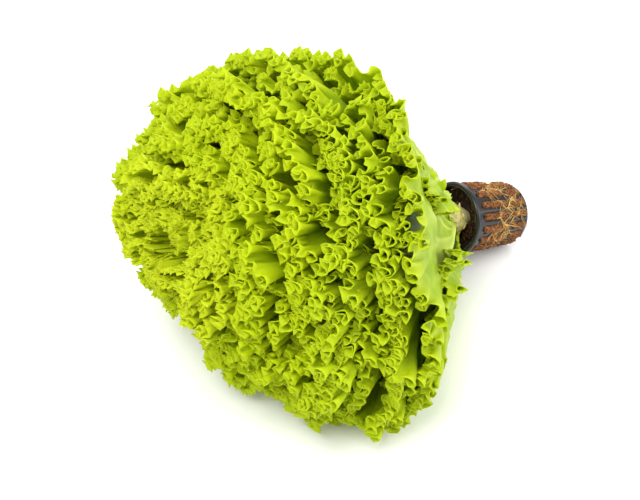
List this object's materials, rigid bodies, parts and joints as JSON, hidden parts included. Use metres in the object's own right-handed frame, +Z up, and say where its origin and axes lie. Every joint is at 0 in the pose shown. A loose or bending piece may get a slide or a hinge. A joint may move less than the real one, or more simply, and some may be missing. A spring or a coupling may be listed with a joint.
{
  "type": "head of lettuce",
  "caption": "Whole curly green lettuce lying on its side, harvested with its roots and coir still in a slotted nursery pot.",
  "frame": {"origin": "under the middle of the bounding box, on the surface it rests on", "axes": "+Z up; +X from the head towards the pot along the floor; the plant's axis rises 18.5 degrees towards the head at -X"},
  "size_m": [0.3144, 0.2794, 0.201],
  "materials": {
    "pot_plastic": "moulded black polypropylene, slightly glossy",
    "coir": "damp coconut fibre, very rough",
    "stem_flesh": "smooth pale living stem",
    "root_skin": "dry tan root skin",
    "leaf_outer": "thin waxy green leaf, paler on the back and along its ribs",
    "leaf_middle": "thin waxy lime-green leaf",
    "leaf_heart": "thin waxy yellow-green leaf"
  },
  "bodies": {
    "root": {"net_pot": "pot_plastic", "coir_plug": "coir", "stem": "stem_flesh", "leaf_01": "leaf_outer", "leaf_02": "leaf_outer", "leaf_03": "leaf_outer", "leaf_04": "leaf_outer", "leaf_05": "leaf_outer", "leaf_06": "leaf_outer", "leaf_07": "leaf_outer", "leaf_08": "leaf_outer", "leaf_09": "leaf_outer", "leaf_10": "leaf_middle", "leaf_11": "leaf_middle", "leaf_12": "leaf_middle", "leaf_13": "leaf_middle", "leaf_14": "leaf_middle", "leaf_15": "leaf_middle", "leaf_16": "leaf_middle", "leaf_17": "leaf_middle", "leaf_18": "leaf_middle", "leaf_19": "leaf_middle", "leaf_20": "leaf_heart", "leaf_21": "leaf_heart", "leaf_22": "leaf_heart", "leaf_23": "leaf_heart", "leaf_24": "leaf_heart", "leaf_25": "leaf_heart", "leaf_26": "leaf_heart", "leaf_27": "leaf_heart", "leaf_28": "leaf_heart", "root_1": "root_skin", "root_2": "root_skin", "root_3": "root_skin", "root_4": "root_skin", "root_5": "root_skin", "root_6": "root_skin", "root_7": "root_skin"}
  },
  "joints": []
}
